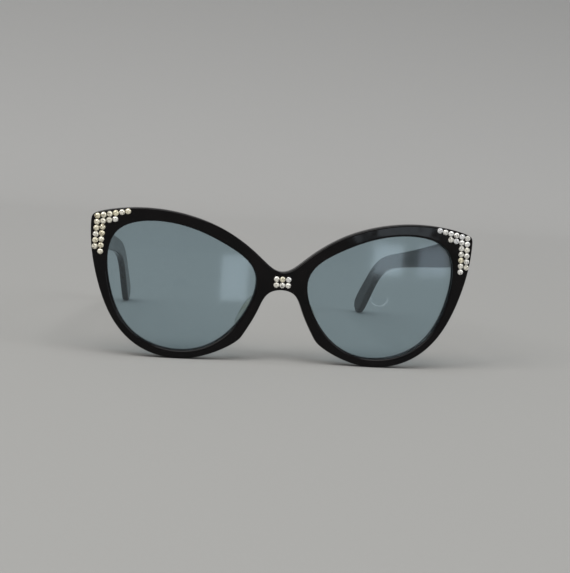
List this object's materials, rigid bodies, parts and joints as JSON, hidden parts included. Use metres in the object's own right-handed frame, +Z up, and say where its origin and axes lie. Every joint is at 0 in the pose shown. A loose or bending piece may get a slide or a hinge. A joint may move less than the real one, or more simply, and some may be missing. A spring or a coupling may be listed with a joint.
{
  "type": "cat eye sunglasses",
  "caption": "Cat eye sunglasses: black acetate front with tinted lenses, crystal clusters on the bridge and upswept corners, and folding temples on barrel hinges.",
  "frame": {"origin": "centre of the footprint, on the surface that the open glasses stand on", "axes": "+X towards the wearer's left, +Y from the front to the temple tips, +Z up"},
  "size_m": [0.1456, 0.1371, 0.0563],
  "materials": {
    "acetate": "polished near-black acetate",
    "clear_acetate": "clear acetate",
    "lens_resin": "pale blue-grey tinted resin",
    "rhinestone": "foil-backed faceted crystal",
    "hinge_metal": "nickel silver",
    "core_wire": "flat steel core wire"
  },
  "bodies": {
    "front": {"front_frame": "acetate", "bridge_stones": "rhinestone", "left_lens": "lens_resin", "left_corner_stones": "rhinestone", "left_front_hinge": "hinge_metal", "left_hinge_screw": "hinge_metal", "left_nose_pad": "clear_acetate", "right_lens": "lens_resin", "right_corner_stones": "rhinestone", "right_front_hinge": "hinge_metal", "right_hinge_screw": "hinge_metal", "right_nose_pad": "clear_acetate"},
    "left_arm": {"left_temple": "acetate", "left_temple_hinge": "hinge_metal", "left_temple_rivets": "hinge_metal", "left_core_wire": "core_wire"},
    "right_arm": {"right_temple": "acetate", "right_temple_hinge": "hinge_metal", "right_temple_rivets": "hinge_metal", "right_core_wire": "core_wire"}
  },
  "joints": [
    {"name": "left_temple_fold", "type": "hinge", "parent": "front", "child": "left_arm", "pos_m": [0.0676, -0.06215, 0.0478], "axis": [0, 0, 1], "range_deg": [0, 85]},
    {"name": "right_temple_fold", "type": "hinge", "parent": "front", "child": "right_arm", "pos_m": [-0.0676, -0.06215, 0.0478], "axis": [0, 0, -1], "range_deg": [0, 81]}
  ]
}
